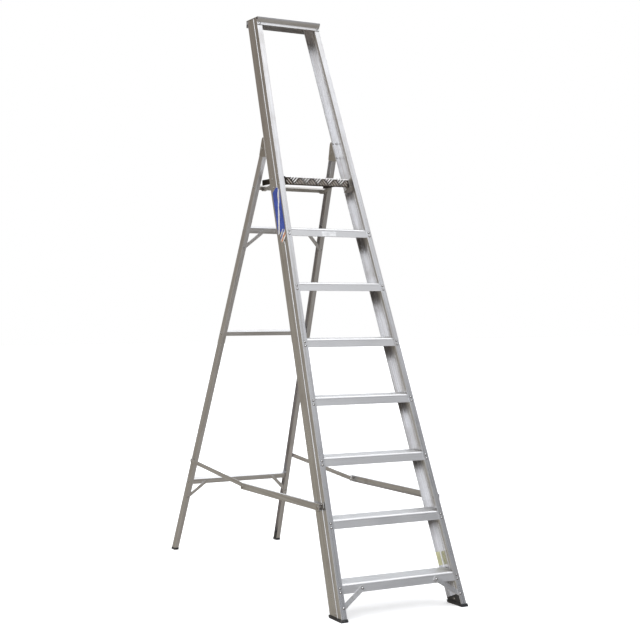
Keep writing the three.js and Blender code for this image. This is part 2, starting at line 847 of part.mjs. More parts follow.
function rearStayBolt() {
  const along = new THREE.Vector3(0, LEG_PIN.y, LEG_PIN.z).applyMatrix4(intoRear).z;
  const onLegFace = legX(along) + LEG_WIDTH / 2 + 1;
  return stayBolt(onLegFace, REAR_STAY_PLANE + REAR_STAY.sheet + GAP, LEG_PIN);
}

const stayOutside = FRONT_STAY_PLANE + STAY.depth + GAP;
const knuckleInside = FRONT_STAY_PLANE + STAY.depth - STAY.wall - 6;
const stayPlateBore = stileFace(STAY_PIN.z) + BEAD.proud + GAP;

pair('stay_plate', stayPlate(), steel, onStile);
pair('front_stay', frontStay(), aluminium, onLadder);
pair('rear_stay', rearStay(), aluminium, onLadder);
pair('front_stay_bolt', stayBolt(stayPlateBore, stayOutside, STAY_PIN), steel, onLadder);
pair('rear_stay_bolt', rearStayBolt(), steel, onLadder);
pair('knuckle_rivet', stayBolt(knuckleInside, stayOutside, KNUCKLE), steel, onLadder);

// ---------------------------------------------------------------- label

// A plain vinyl label on the outside of the left stile, in a strip on either side of the bead.
const LABEL = { from: 1618, to: 1876, sheet: 0.4, margin: 5 };

function labelStrip(front, back) {
  const outside = -GAP;
  return block(outside - LABEL.sheet, outside, front, back, LABEL.from, LABEL.to);
}

const leftStile = sides[0].stileFrame;
const besideBead = BEAD.width / 2 + 1;
const frontStrip = labelStrip(LABEL.margin, BEAD.at - besideBead);
const rearStrip = labelStrip(BEAD.at + besideBead, STILE_DEPTH - LABEL.margin);
piece('label_front_strip', frontStrip, blueVinyl, leftStile);
piece('label_rear_strip', rearStrip, blueVinyl, leftStile);

export default ladder;
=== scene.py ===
# Looks of the folding aluminium platform ladder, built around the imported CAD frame.
# The frame is in metres, +Z up, with the climber on the -Y side.

import json
import math

import bmesh
import bpy
from mathutils import Matrix, Vector


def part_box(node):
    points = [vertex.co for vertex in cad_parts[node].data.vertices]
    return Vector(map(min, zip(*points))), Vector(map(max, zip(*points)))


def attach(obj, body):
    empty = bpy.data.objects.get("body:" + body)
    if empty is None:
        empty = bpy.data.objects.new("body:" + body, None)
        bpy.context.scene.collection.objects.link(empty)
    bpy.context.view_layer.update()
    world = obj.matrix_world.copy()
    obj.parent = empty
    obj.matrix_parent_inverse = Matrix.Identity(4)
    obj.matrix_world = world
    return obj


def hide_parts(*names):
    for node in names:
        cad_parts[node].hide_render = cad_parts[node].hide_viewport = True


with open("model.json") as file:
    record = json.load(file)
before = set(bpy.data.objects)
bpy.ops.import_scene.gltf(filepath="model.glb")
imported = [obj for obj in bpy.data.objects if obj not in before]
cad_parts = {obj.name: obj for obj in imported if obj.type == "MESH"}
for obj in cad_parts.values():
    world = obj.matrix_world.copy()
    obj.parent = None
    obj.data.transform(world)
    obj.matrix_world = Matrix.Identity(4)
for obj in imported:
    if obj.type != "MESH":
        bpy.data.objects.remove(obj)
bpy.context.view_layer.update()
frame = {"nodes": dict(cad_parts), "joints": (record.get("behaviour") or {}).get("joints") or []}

# ---------------------------------------------------------------- driving dimensions (mm)

MM = 0.001
FRONT_LEAN = math.radians(22.2)
REAR_LEAN = math.radians(22.4)
FRONT_SPLAY = 0.0525
REAR_SPLAY = 0.056
HALF_SPREAD = 290.3                     # outer face of a stile at the floor
FRONT_TILT = math.atan(FRONT_SPLAY * math.cos(FRONT_LEAN))
REAR_TILT = math.atan(REAR_SPLAY * math.cos(REAR_LEAN))

STILE_DEPTH = 90
STILE_FLANGE = 25
STILE_WALL = 2.5
BEAD = {"at": 31, "width": 9, "proud": 2}
GAP = 0.3

TREADS = 7
FIRST_TREAD_TOP = 135
RISE = 235
TREAD_FRONT = 36
TREAD_BACK = 25
TREAD_WALL = 2.2
NOSE = 8

LEG_WIDTH = 20.5
LEG_DEPTH = 34
SHEET = 2.5

joints = {j["name"]: Vector(j["pos_m"]) / MM for j in frame["joints"]}
HINGE = joints["rear_frame_fold"]
LEG_X = sum(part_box("right_hinge_pin"), Vector()).x / 2 / MM
ORIGIN_Y = HINGE.y - 905                # the stiles' front face at the floor

# ---------------------------------------------------------------- frames of reference

FRAME = Matrix.Scale(MM, 4)
LADDER = FRAME @ Matrix.Translation((0, ORIGIN_Y, 0))
FRONT = LADDER @ Matrix.Rotation(-FRONT_LEAN, 4, "X")
STILE = FRONT @ Matrix.Translation((HALF_SPREAD, 0, 0)) @ Matrix.Rotation(-FRONT_TILT, 4, "Y")
REAR = FRAME @ Matrix.Translation(HINGE) @ Matrix.Rotation(REAR_LEAN, 4, "X")
LEG = REAR @ Matrix.Translation((LEG_X, 0, 0)) @ Matrix.Rotation(-REAR_TILT, 4, "Y")
MIRROR = Matrix.Diagonal((-1, 1, 1, 1))
SIDES = {"left": MIRROR, "right": Matrix.Identity(4)}

ABOUT_X = Matrix.Rotation(math.pi / 2, 4, "Y")      # turns +Z onto +X
ABOUT_Y = Matrix.Rotation(math.pi / 2, 4, "X")      # turns +Z onto -Y


def at(base, x, y, z, turn=None):
    """A place in a frame, with the piece's own +Z turned to face another way."""
    return base @ Matrix.Translation((x, y, z)) @ (turn or Matrix.Identity(4))


def stile_height(z, depth):
    """Distance along a stile of a point at a world height and at a depth in it."""
    along = (z + depth * math.sin(FRONT_LEAN)) / math.cos(FRONT_LEAN)
    return along / math.cos(FRONT_TILT)


def leg_x(along):
    return LEG_X - along * math.tan(REAR_TILT)


# ---------------------------------------------------------------- materials


class Shader:
    """A node material with short ways to add and link nodes."""

    def __init__(self, name):
        self.material = bpy.data.materials.new(name)
        self.material.use_nodes = True
        self.tree = self.material.node_tree
        self.surface = self.tree.nodes["Principled BSDF"]
        self.place = self.tree.nodes.new("ShaderNodeTexCoord").outputs["Object"]

    def set(self, **values):
        for socket, value in values.items():
            self.surface.inputs[socket.replace("_", " ")].default_value = value

    def link(self, output, socket):
        self.tree.links.new(output, self.surface.inputs[socket])

    def stretched(self, direction, across, along):
        """Coordinates that run slowly along a direction and fast across it."""
        node = self.tree.nodes.new("ShaderNodeMapping")
        node.vector_type = "TEXTURE"
        node.inputs["Rotation"].default_value = Vector(direction).to_track_quat("Z", "Y").to_euler()
        node.inputs["Scale"].default_value = (across, across, along)
        self.tree.links.new(self.place, node.inputs["Vector"])
        return node.outputs["Vector"]

    def noise(self, vector, scale=1.0, detail=2.0, roughness=0.5):
        node = self.tree.nodes.new("ShaderNodeTexNoise")
        node.inputs["Scale"].default_value = scale
        node.inputs["Detail"].default_value = detail
        node.inputs["Roughness"].default_value = roughness
        self.tree.links.new(vector, node.inputs["Vector"])
        return node.outputs["Fac"]

    def upward(self):
        """How far a face looks up, from -1 to 1."""
        normal = self.tree.nodes.new("ShaderNodeNewGeometry").outputs["Normal"]
        parts = self.tree.nodes.new("ShaderNodeSeparateXYZ")
        self.tree.links.new(normal, parts.inputs[0])
        return parts.outputs["Z"]

    def ramp(self, value, low, high, to_low=0.0, to_high=1.0):
        node = self.tree.nodes.new("ShaderNodeMapRange")
        node.inputs["From Min"].default_value = low
        node.inputs["From Max"].default_value = high
        node.inputs["To Min"].default_value = to_low
        node.inputs["To Max"].default_value = to_high
        self.tree.links.new(value, node.inputs["Value"])
        return node.outputs["Result"]

    def mix(self, share, first, second):
        node = self.tree.nodes.new("ShaderNodeMix")
        node.data_type = "RGBA"
        self.tree.links.new(share, node.inputs["Factor"])
        for socket, colour in ((node.inputs[6], first), (node.inputs[7], second)):
            if isinstance(colour, tuple):
                socket.default_value = (*colour, 1)
            else:
                self.tree.links.new(colour, socket)
        return node.outputs[2]

    def add(self, first, second, operation="ADD"):
        node = self.tree.nodes.new("ShaderNodeMath")
        node.operation = operation
        for socket, value in zip(node.inputs, (first, second)):
            if isinstance(value, (int, float)):
                socket.default_value = value
            else:
                self.tree.links.new(value, socket)
        return node.outputs["Value"]

    def bump(self, height, strength, distance):
        node = self.tree.nodes.new("ShaderNodeBump")
        node.inputs["Strength"].default_value = strength
        node.inputs["Distance"].default_value = distance
        self.tree.links.new(height, node.inputs["Height"])
        self.link(node.outputs["Normal"], "Normal")


def metal(name, grain, light, dark, rough, grime=(0.36, 0.33, 0.29), wear=0.35, painted_top_light=None):
    """Drawn or rolled metal: fine die lines along the grain, clouds of oxide, and scratches.

    The last argument is a colour of painted light from above, mixed into faces by how far they look up.
    """
    s = Shader(name)
    lines = s.noise(s.stretched(grain, 0.0011, 0.5), detail=3, roughness=0.65)
    broad = s.noise(s.stretched(grain, 0.009, 0.35), detail=2)
    cloud = s.noise(s.place, 9, detail=4, roughness=0.6)
    grit = s.noise(s.place, 700, detail=2)
    slant = Vector(grain).cross(Vector((0.31, 0.52, 0.8))).normalized() + Vector(grain) * 1.2
    marks = s.ramp(s.noise(s.stretched(slant, 0.0016, 0.06), detail=1), 0.69, 0.74)
    shade = s.mix(s.ramp(lines, 0.34, 0.66), dark, light)
    shade = s.mix(s.ramp(broad, 0.42, 0.7, 0, wear), shade, grime)
    shade = s.mix(s.ramp(cloud, 0.5, 0.78, 0, wear), shade, grime)
    shade = s.mix(s.add(marks, 0.35, "MULTIPLY"), shade, (0.9, 0.9, 0.9))
    # painted light: faces that look up are lightened towards the given colour by their normal
    if painted_top_light:
        shade = s.mix(s.ramp(s.upward(), 0.1, 0.55), shade, painted_top_light)
    s.link(shade, "Base Color")
    rougher = s.add(s.ramp(cloud, 0.4, 0.8, 0, 0.12), s.ramp(lines, 0.3, 0.7, -0.05, 0.07))
    rougher = s.add(rougher, s.ramp(grit, 0.3, 0.7, -0.02, 0.03))
    s.link(s.add(rougher, rough), "Roughness")
    s.set(Metallic=1.0)
    s.bump(s.add(s.add(lines, 0.7, "MULTIPLY"), s.add(grit, 0.3, "MULTIPLY")), 0.25, 0.0002)
    return s.material


def plastic(name, light, dark, rough):
    """Moulded plastic with a fine leathery grain and dusty scuffs."""
    s = Shader(name)
    grain = s.noise(s.place, 420, detail=3, roughness=0.6)
    dust = s.noise(s.place, 35, detail=5, roughness=0.7)
    shade = s.mix(s.ramp(grain, 0.35, 0.65), dark, light)
    shade = s.mix(s.ramp(dust, 0.52, 0.75, 0, 0.5), shade, (0.16, 0.15, 0.14))
    s.link(shade, "Base Color")
    s.link(s.ramp(dust, 0.3, 0.7, rough - 0.08, rough + 0.15), "Roughness")
    s.bump(grain, 0.5, 0.0004)
    return s.material


def vinyl(name, light, dark, rough=0.35):
    """Printed self-adhesive film, a little faded and scuffed."""
    s = Shader(name)
    fade = s.noise(s.place, 24, detail=3)
    scuffs = s.noise(s.place, 260, detail=4, roughness=0.75)
    shade = s.mix(s.ramp(fade, 0.35, 0.65), dark, light)
    shade = s.mix(s.ramp(scuffs, 0.62, 0.72, 0, 0.35), shade, (0.62, 0.61, 0.58))
    s.link(shade, "Base Color")
    s.link(s.ramp(scuffs, 0.4, 0.7, rough, rough + 0.2), "Roughness")
    s.set(Specular_IOR_Level=0.4)
    s.bump(scuffs, 0.12, 0.0002)
    return s.material


LIGHT_ALU, DARK_ALU = (0.78, 0.78, 0.79), (0.62, 0.62, 0.63)
X_AXIS = Vector((1, 0, 0))


def direction(matrix, column):
    return matrix.to_3x3().col[column].normalized()


def mirrored(vector):
    return Vector((-vector.x, vector.y, vector.z))


up_stile, up_leg = direction(STILE, 2), direction(LEG, 2)
STILE_METAL = {
    "right": metal("stile_aluminium_right", up_stile, LIGHT_ALU, DARK_ALU, 0.27),
    "left": metal("stile_aluminium_left", mirrored(up_stile), LIGHT_ALU, DARK_ALU, 0.27),
}
LEG_METAL = {
    "right": metal("leg_aluminium_right", up_leg, LIGHT_ALU, DARK_ALU, 0.36),
    "left": metal("leg_aluminium_left", mirrored(up_leg), LIGHT_ALU, DARK_ALU, 0.36),
}
CROSS_METAL = metal("cross_aluminium", X_AXIS, LIGHT_ALU, DARK_ALU, 0.36)
# The treads' darker base colour is painted shade on their fronts and undersides, and their faces that
# look up get painted light.
TREAD_METAL = metal(
    "tread_aluminium", X_AXIS, (0.55, 0.545, 0.555), (0.45, 0.445, 0.455), 0.4, wear=0.25,
    painted_top_light=(0.74, 0.74, 0.74),
)
stay_run = joints["right_rear_stay_swing"] - joints["right_front_stay_swing"]
STAY_METAL = metal("stay_aluminium", (0, stay_run.y, stay_run.z), LIGHT_ALU, DARK_ALU, 0.38)
BRACE_METAL = metal("brace_aluminium", up_leg, (0.8, 0.8, 0.8), DARK_ALU, 0.36)
# The sheet's near-black colour is painted shade between the raised bars, and its faces that look up get
# painted light.
PLATE_METAL = metal(
    "chequer_sheet_painted_shade", X_AXIS, (0.085, 0.068, 0.052), (0.045, 0.036, 0.028), 0.5,
    (0.04, 0.033, 0.026), 0.5, painted_top_light=(0.8, 0.79, 0.78),
)
BAR_METAL = metal("chequer_bars", X_AXIS, (0.97, 0.96, 0.94), (0.9, 0.89, 0.87), 0.22, wear=0.06)
STEEL = metal("plated_steel", (0.2, 0.3, 1), (0.66, 0.65, 0.62), (0.5, 0.48, 0.45), 0.38)
DARK_STEEL = metal(
    "pressed_bracket", up_stile, (0.6, 0.58, 0.55), (0.46, 0.44, 0.41), 0.42, wear=0.5
)
RIVET_METAL = metal(
    "rivet_aluminium", (0, 1, 0.2), (0.82, 0.82, 0.82), (0.66, 0.66, 0.66), 0.2
)
# dark rings of painted shade round rivet, pin and screw heads
RIM_SHADE = plastic("painted_rim_shade", (0.07, 0.06, 0.05), (0.03, 0.026, 0.022), 0.7)
BLACK = plastic("black_plastic", (0.02, 0.02, 0.022), (0.009, 0.009, 0.01), 0.45)
BLUE = vinyl("blue_vinyl", (0.032, 0.065, 0.3), (0.02, 0.042, 0.22))
PALE = vinyl("pale_vinyl", (0.62, 0.6, 0.56), (0.5, 0.48, 0.44))
ORANGE = vinyl("orange_vinyl", (0.5, 0.16, 0.05), (0.4, 0.11, 0.035))
CHARCOAL = vinyl("charcoal_vinyl", (0.07, 0.06, 0.055), (0.04, 0.036, 0.03))
YELLOW = vinyl("yellow_vinyl", (0.72, 0.7, 0.42), (0.62, 0.6, 0.36))
CLEAR = vinyl("milky_vinyl", (0.72, 0.72, 0.72), (0.5, 0.5, 0.5))

# ---------------------------------------------------------------- mesh helpers


def piece(name, mesh, materials, body, replaces=(), smooth=30):
    """Finishes a bmesh as a piece that rides on a body."""
    bmesh.ops.recalc_face_normals(mesh, faces=mesh.faces)
    data = bpy.data.meshes.new(name)
    mesh.to_mesh(data)
    mesh.free()
    for material in materials:
        data.materials.append(material)
    data.polygons.foreach_set("use_smooth", [True] * len(data.polygons))
    data.set_sharp_from_angle(angle=math.radians(smooth))
    made = bpy.data.objects.new(name, data)
    bpy.context.scene.collection.objects.link(made)
    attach(made, body)
    if replaces:
        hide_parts(*replaces)


def skin(mesh, rings, material=0):
    """Faces between closed rings of points, and a face on either end."""
    rows = [[mesh.verts.new(p) for p in ring] for ring in rings]
    count = len(rows[0])
    for low, high in zip(rows, rows[1:]):
        for i in range(count):
            j = (i + 1) % count
            face = mesh.faces.new((low[i], low[j], high[j], high[i]))
            face.material_index = material
    for ring in (rows[0], rows[-1]):
        mesh.faces.new(ring).material_index = material


def lathe(mesh, place, profile, sides, material=0):
    """A solid turned about the place's own Z, from a profile of radius and height."""
    rings = []
    for radius, height in profile:
        ring = []
        for i in range(sides):
            angle = 2 * math.pi * i / sides
            ring.append(place @ Vector((radius * math.cos(angle), radius * math.sin(angle), height)))
        rings.append(ring)
    skin(mesh, rings, material=material)


def dome(radius, height, sunk=0.4, steps=5):
    """Profile of a domed head on a face at height 0."""
    rim = [(radius, -sunk), (radius, height * 0.25)]
    curve = []
    for i in range(1, steps + 1):
        angle = math.pi / 2 * i / (steps + 0.4)
        curve.append((radius * math.cos(angle), height * (0.25 + 0.75 * math.sin(angle))))
    return rim + curve


def prism(mesh, place, section, start, end):
    """A section in Y and Z, run along X."""
    rings = [[place @ Vector((x, y, z)) for y, z in section] for x in (start, end)]
    skin(mesh, rings)


def finish_node(name, material, rounding=0.0, segments=2):
    """Gives a CAD node its finish, and rounds its edges a little."""
    node = frame["nodes"][name]
    node.data.materials.clear()
    node.data.materials.append(material)
    if "custom_normal" in node.data.attributes:
        node.data.attributes.remove(node.data.attributes["custom_normal"])
    if not rounding:
        return
    weld = node.modifiers.new("weld", "WELD")
    weld.merge_threshold = 1e-5
    plane = node.modifiers.new("plane", "DECIMATE")
    plane.decimate_type = "DISSOLVE"
    plane.angle_limit = math.radians(0.5)
    bevel = node.modifiers.new("bevel", "BEVEL")
    bevel.width = rounding * MM
    bevel.segments = segments
    bevel.limit_method = "ANGLE"
    bevel.angle_limit = math.radians(30)
    bevel.harden_normals = True
    node.data.polygons.foreach_set("use_smooth", [True] * len(node.data.polygons))


# ---------------------------------------------------------------- CAD nodes that stay

for side in SIDES:
    finish_node(f"{side}_stile", STILE_METAL[side], 0.8)
    finish_node(f"{side}_rear_leg", LEG_METAL[side], 0.9)
    finish_node(f"{side}_front_foot", BLACK, 1.2, 3)
    finish_node(f"{side}_rear_foot", BLACK, 1.2, 3)
    finish_node(f"{side}_front_brace", BRACE_METAL, 0.5)
    finish_node(f"{side}_hinge_bracket", DARK_STEEL, 0.6)
    finish_node(f"{side}_hinge_bush", STEEL)
    finish_node(f"{side}_platform_bracket", DARK_STEEL, 0.6)
    finish_node(f"{side}_stay_plate", STEEL, 0.6)
    finish_node(f"{side}_upper_knee_brace", BRACE_METAL, 0.5)
    finish_node(f"{side}_lower_knee_brace", BRACE_METAL, 0.5)
    finish_node(f"{side}_platform_strap", DARK_STEEL, 0.5)
    finish_node(f"{side}_front_stay", STAY_METAL, 0.8)
    finish_node(f"{side}_rear_stay", STAY_METAL, 0.5)
for bar in ("platform_support_bar", "upper_cross_bar", "middle_cross_bar", "lower_cross_bar"):
    finish_node(bar, DARK_STEEL if "support" in bar else CROSS_METAL, 0.7)
finish_node("top_cap", CROSS_METAL, 0.7)

# ---------------------------------------------------------------- treads


def back_to(depth, z):
    """Level distance back from the stiles' front face to a plane at a depth inside them."""
    return z * math.tan(FRONT_LEAN) + depth / math.cos(FRONT_LEAN)


def tread_section():
    """Ribbed tread, from its lower front edge over the nose and back."""
    front = STILE_WALL + GAP
    back = STILE_DEPTH - front
    ribs, groove, chamfer = 15, 0.8, 0.6
    points = [
        (back_to(front + chamfer, -TREAD_FRONT), -TREAD_FRONT),
        (back_to(front, chamfer - TREAD_FRONT), chamfer - TREAD_FRONT),
        (back_to(front, -NOSE - 2.0), -NOSE - 2.0),
        (back_to(front + groove, -NOSE - 1.6), -NOSE - 1.6),
        (back_to(front + groove, -NOSE - 0.9), -NOSE - 0.9),
        (back_to(front, -NOSE - 0.5), -NOSE - 0.5),
    ]
    low = Vector((back_to(front, -NOSE), -NOSE))
    corner = Vector((back_to(front, 0), 0))
    high = corner + Vector((NOSE, 0))
    for i in range(7):
        t = i / 6
        p = low * (1 - t) ** 2 + corner * 2 * t * (1 - t) + high * t ** 2
        points.append((p.x, p.y))
    pitch = (back_to(back, 0) - 3 - high.x) / ribs
    for i in range(ribs):
        y = high.x + (i + 0.45) * pitch
        points += [
            (y, 0),
            (y + 0.4, -groove),
            (y + 0.4 * pitch, -groove),
            (y + 0.4 * pitch + 0.4, 0),
        ]
    under = -TREAD_WALL - groove / 2
    lip_back = front + 9
    points += [
        (back_to(back, 0), 0),
        (back_to(back, -TREAD_BACK), -TREAD_BACK),
        (back_to(back - TREAD_WALL, -TREAD_BACK), -TREAD_BACK),
        (back_to(back - TREAD_WALL, under), under),
    ]
    for share in (0.68, 0.36):
        rib = back_to(front + share * (back - front), 0)
        points += [(rib + 1, under), (rib + 1, under - 7), (rib - 1, under - 7), (rib - 1, under)]
    inner = front + TREAD_WALL
    points += [
        (back_to(inner, -NOSE) + 2, under),
        (back_to(inner, -NOSE), -NOSE),
        (back_to(inner, TREAD_WALL - TREAD_FRONT), TREAD_WALL - TREAD_FRONT),
        (back_to(lip_back, TREAD_WALL - TREAD_FRONT), TREAD_WALL - TREAD_FRONT),
        (back_to(lip_back, -TREAD_FRONT), -TREAD_FRONT),
    ]
    return points


for number in range(1, TREADS + 1):
    node = f"tread_{number}"
    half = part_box(node)[1].x / MM
    top = FIRST_TREAD_TOP + (number - 1) * RISE
    mesh = bmesh.new()
    prism(mesh, at(LADDER, 0, top * math.tan(FRONT_LEAN), top), tread_section(), -half, half)
    piece(f"ribbed_tread_{number}", mesh, [TREAD_METAL], "front_frame", [node])

# ---------------------------------------------------------------- chequer-plate platform

PLATFORM = {"top": 1776, "front": 735, "back": 968, "half": 157, "radius": 7, "rear_radius": 4}
FRONT_FOOT, SIDE_FOOT, REAR_FOOT = 1738, 1750, 1760
PROUD = 1.5                             # height of the raised bars
BAR = {"length": 39.0, "width": 5.0, "shortest": 5, "steps": 6}
CELL, BARS_IN_CELL = 41.0, 4            # a square of parallel bars
FIRST_ROW = 4.0                         # centre of the lowest squares, above the front lip's foot
BARE_EDGE = 3.0                         # sheet left plain round the pattern
CHEQUER_RIDGE = ((-1, -0.3), (-0.25, 0.92), (0, 1.0), (0.25, 0.92), (1, -0.3))


def platform_outline(inset):
    """Outer line of the tray from its front foot over the top to its rear foot, in Y and Z."""
    front, back = PLATFORM["front"] + inset, PLATFORM["back"] - inset
    top, radius = PLATFORM["top"] - inset, PLATFORM["radius"] - inset * 0.5
    points = [(front, FRONT_FOOT), (front, top - radius)]
    front_steps, rear_steps = 8, 4
    for i in range(1, front_steps + 1):
        angle = math.pi / 2 * i / front_steps
        points.append((front + radius * (1 - math.cos(angle)), top - radius * (1 - math.sin(angle))))
    bend = PLATFORM["rear_radius"]
    points.append((back - bend, top))
    for i in range(1, rear_steps + 1):
        angle = math.pi / 2 * i / rear_steps
        points.append((back - bend * (1 - math.sin(angle)), top - bend * (1 - math.cos(angle))))
    points.append((back, REAR_FOOT))
    return points


class Surface:
    """The tray's outer face as a strip: a point and its normal at a distance along the outline."""

    def __init__(self, points):
        self.points = [Vector(p) for p in points]
        self.starts = [0.0]
        for a, b in zip(self.points, self.points[1:]):
            self.starts.append(self.starts[-1] + (b - a).length)
        self.length = self.starts[-1]

    def tangent(self, i):
        i = min(max(i, 0), len(self.points) - 2)
        return (self.points[i + 1] - self.points[i]).normalized()

    def at(self, s):
        i = max(k for k, start in enumerate(self.starts[:-1]) if start <= max(s, 0))
        along = self.tangent(i)
        share = (s - self.starts[i]) / (self.starts[i + 1] - self.starts[i])
        before, after = self.tangent(i - 1), self.tangent(i + 1)
        blended = (before * (1 - share) + after * share + along).normalized()
        point = self.points[i] + along * (s - self.starts[i])
        return point, Vector((-blended.y, blended.x))


def bar_shape(mesh, surface, x, s, dx, ds, length):
    """One raised bar, a rounded lozenge that follows the sheet round its bends."""
    width = BAR["width"]
    rings = []
    for i in range(BAR["steps"] + 1):
        t = i / BAR["steps"] * 2 - 1
        swell = math.sqrt(max(0.0, 1 - abs(t) ** 3)) * 0.85 + 0.15
        ring = []
        for across, lift in CHEQUER_RIDGE:
            px = x + dx * t * length / 2 - ds * across * width / 2 * swell
            ps = s + ds * t * length / 2 + dx * across * width / 2 * swell
            point, normal = surface.at(ps)
            high = lift * PROUD * (swell if lift > 0 else 1)
            y, z = point.x + normal.x * high, point.y + normal.y * high
            ring.append(LADDER @ Vector((px, y, z)))
        rings.append(ring)
    skin(mesh, rings, material=1)


def bar_ends(surface, half, x, s, dx, ds):
    """Where a bar starts and ends from its middle, cut off at the pattern's edge."""
    low, high = -BAR["length"] / 2, BAR["length"] / 2
    for centre, step, bottom, top in (
        (x, dx, -half + BARE_EDGE, half - BARE_EDGE),
        (s, ds, BARE_EDGE, surface.length - BARE_EDGE),
    ):
        a, b = sorted(((bottom - centre) / step, (top - centre) / step))
        low, high = max(low, a), min(high, b)
    return low, high


def chequer(mesh, surface, half):
    """Squares of parallel bars, turned a quarter from one diagonal square to the next."""
    diagonal = math.sqrt(0.5)
    reach = int((half + surface.length) / CELL) + 2
    for i in range(-reach, reach):
        for j in range(-reach, reach):
            even = (i + j) % 2 == 0
            dx, ds = (diagonal, diagonal) if even else (diagonal, -diagonal)
            p, q = (i + 0.5) * CELL, (j + 0.5) * CELL
            cx, cs = (p - q) * diagonal, (p + q) * diagonal + FIRST_ROW
            for k in range(BARS_IN_CELL):
                shift = (k - (BARS_IN_CELL - 1) / 2) * CELL / BARS_IN_CELL
                x, s = cx - ds * shift, cs + dx * shift
                low, high = bar_ends(surface, half, x, s, dx, ds)
                if high - low > BAR["shortest"]:
                    middle = (low + high) / 2
                    x, s = x + dx * middle, s + ds * middle
                    bar_shape(mesh, surface, x, s, dx, ds, high - low)


def platform():
    """The folded tray: sheet with two side plates, and the raised bars."""
    mesh = bmesh.new()
    half = PLATFORM["half"]
    outer = platform_outline(PROUD)
    inner = platform_outline(PROUD + SHEET)
    prism(mesh, LADDER, outer + inner[::-1], -half, half)
    front, back, top = PLATFORM["front"] + PROUD, PLATFORM["back"] - PROUD, PLATFORM["top"] - PROUD
    side = [
        (front + 1, FRONT_FOOT),
        (front + 12, FRONT_FOOT),
        (front + 16, FRONT_FOOT + 1.5),
        (front + 30, SIDE_FOOT - 3),
        (front + 36, SIDE_FOOT - 0.8),
        (front + 44, SIDE_FOOT),
        (back - 1, SIDE_FOOT),
        (back - 1, top - 5),
        (back - 4, top - 1),
        (front + 4, top - 1),
        (front + 1, top - PLATFORM["radius"]),
    ]
    for start, end in ((-half, SHEET - half), (half - SHEET, half)):
        prism(mesh, LADDER, side, start, end)
    chequer(mesh, Surface(outer), half)
    piece(
        "chequer_platform", mesh, [PLATE_METAL, BAR_METAL], "platform",
        ["platform_tray"], smooth=40,
    )


platform()

# ---------------------------------------------------------------- pins, bolts and rivets


def level_pin(node, body, head, inner_head=False):
    """A pin along X in the place of its CAD node: a domed outer head, and a flat inner one if asked."""
    low, high = (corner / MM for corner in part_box(node))
    middle = (low + high) / 2
    radius = (high.y - low.y) / 2 / math.cos(math.pi / 12)
    hand = 1 if middle.x > 0 else -1
    reach = high.x - low.x
    turn = ABOUT_X if hand > 0 else ABOUT_X @ Matrix.Rotation(math.pi, 4, "X")
    place = at(FRAME, low.x if hand > 0 else high.x, middle.y, middle.z, turn)
    shank = radius * 0.56
    profile = []
    if inner_head:
        profile += [(radius * 0.8, 0), (radius, 0.5), (radius, head), (shank, head)]
    else:
        profile += [(shank - 0.6, 0), (shank, 0.6)]
    base = reach - head
    profile += [(shank, base), (radius, base), (radius, base + head * 0.3)]
    for i in range(1, 6):
        angle = math.pi / 2 * i / 5.3
        profile.append((radius * math.cos(angle), base + head * (0.3 + 0.7 * math.sin(angle))))
    mesh = bmesh.new()
    lathe(mesh, place, profile, 28)
    # a dark ring of painted shade round the outer head
    lathe(mesh, place, [(radius + 1.2, base - 0.25), (radius + 1.2, base - 0.1)], 28, material=1)
    piece(f"{node}_turned", mesh, [STEEL, RIM_SHADE], body, [node])


for side in SIDES:
    level_pin(f"{side}_hinge_pin", "front_frame", 2, inner_head=True)
    level_pin(f"{side}_platform_pin", "platform", 3, inner_head=True)
    level_pin(f"{side}_front_stay_bolt", f"{side}_front_stay", 3)
    level_pin(f"{side}_knuckle_rivet", f"{side}_front_stay", 3)
    level_pin(f"{side}_rear_stay_bolt", "rear_frame", 3)

FOOT_SCREW = {"radius": 2, "length": 12, "depth": 40, "along": 42, "head": 4.6, "high": 2.8}


def foot_screw(side, mirror):
    s = FOOT_SCREW
    mesh = bmesh.new()
    place = at(mirror @ STILE, 0, s["depth"], s["along"], ABOUT_X)
    profile = [(0.3, -s["length"]), (s["radius"], 1.5 - s["length"]), (s["radius"], GAP)]
    profile += dome(s["head"], s["high"], sunk=-GAP)
    lathe(mesh, place, profile, 24)
    # a dark ring of painted shade round the head
    lathe(mesh, place, [(s["head"] + 1.2, 0.05), (s["head"] + 1.2, 0.25)], 24, material=1)
    piece(
        f"{side}_foot_screw_turned", mesh, [RIVET_METAL, RIM_SHADE], "front_frame",
        [f"{side}_foot_screw"],
    )
    inside = bmesh.new()
    place = at(mirror @ STILE, -STILE_FLANGE + 1, s["depth"], s["along"] + 2, ABOUT_X.inverted())
    lathe(inside, place, dome(4, 1.8), 20)
    piece(f"{side}_foot_inner_screw", inside, [RIVET_METAL], "front_frame")


def strap_bolt(side, mirror):
    """Hexagon head and washer under the strap."""
    low, high = (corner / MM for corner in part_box(f"{side}_strap_bolt"))
    middle = (low + high) / 2
    middle.x = abs(middle.x)
    local = REAR.inverted() @ (FRAME @ middle)
    mesh = bmesh.new()
    place = at(mirror @ REAR, local.x, local.y, local.z, Matrix.Rotation(math.pi, 4, "X"))
    top = -1.9
    lathe(mesh, place, [(6.4, top), (6.4, top + 1.0)], 24)
    lathe(mesh, place, [(5.2, top + 0.9), (5.2, top + 3.4), (4.3, top + 4.0)], 6)
    piece(
        f"{side}_strap_bolt_hex", mesh, [STEEL], "rear_frame",
        [f"{side}_strap_bolt"], smooth=20,
    )


SHADE_RING = 1.8                         # how far the dark ring of painted shade reaches round a rivet's head
RIVET_SIDES = 18


def rivets(name, body, places, radius, height):
    """Domed heads, each in a dark ring of painted shade where the head meets the face."""
    mesh = bmesh.new()
    ring = radius + SHADE_RING
    for place in places:
        lathe(mesh, place, [(ring, -0.3), (ring, 0.12)], RIVET_SIDES, material=1)
        lathe(mesh, place, dome(radius, height), RIVET_SIDES)
    piece(name, mesh, [RIVET_METAL, RIM_SHADE], body)


FLANGE_MIDDLE = -STILE_FLANGE / 2


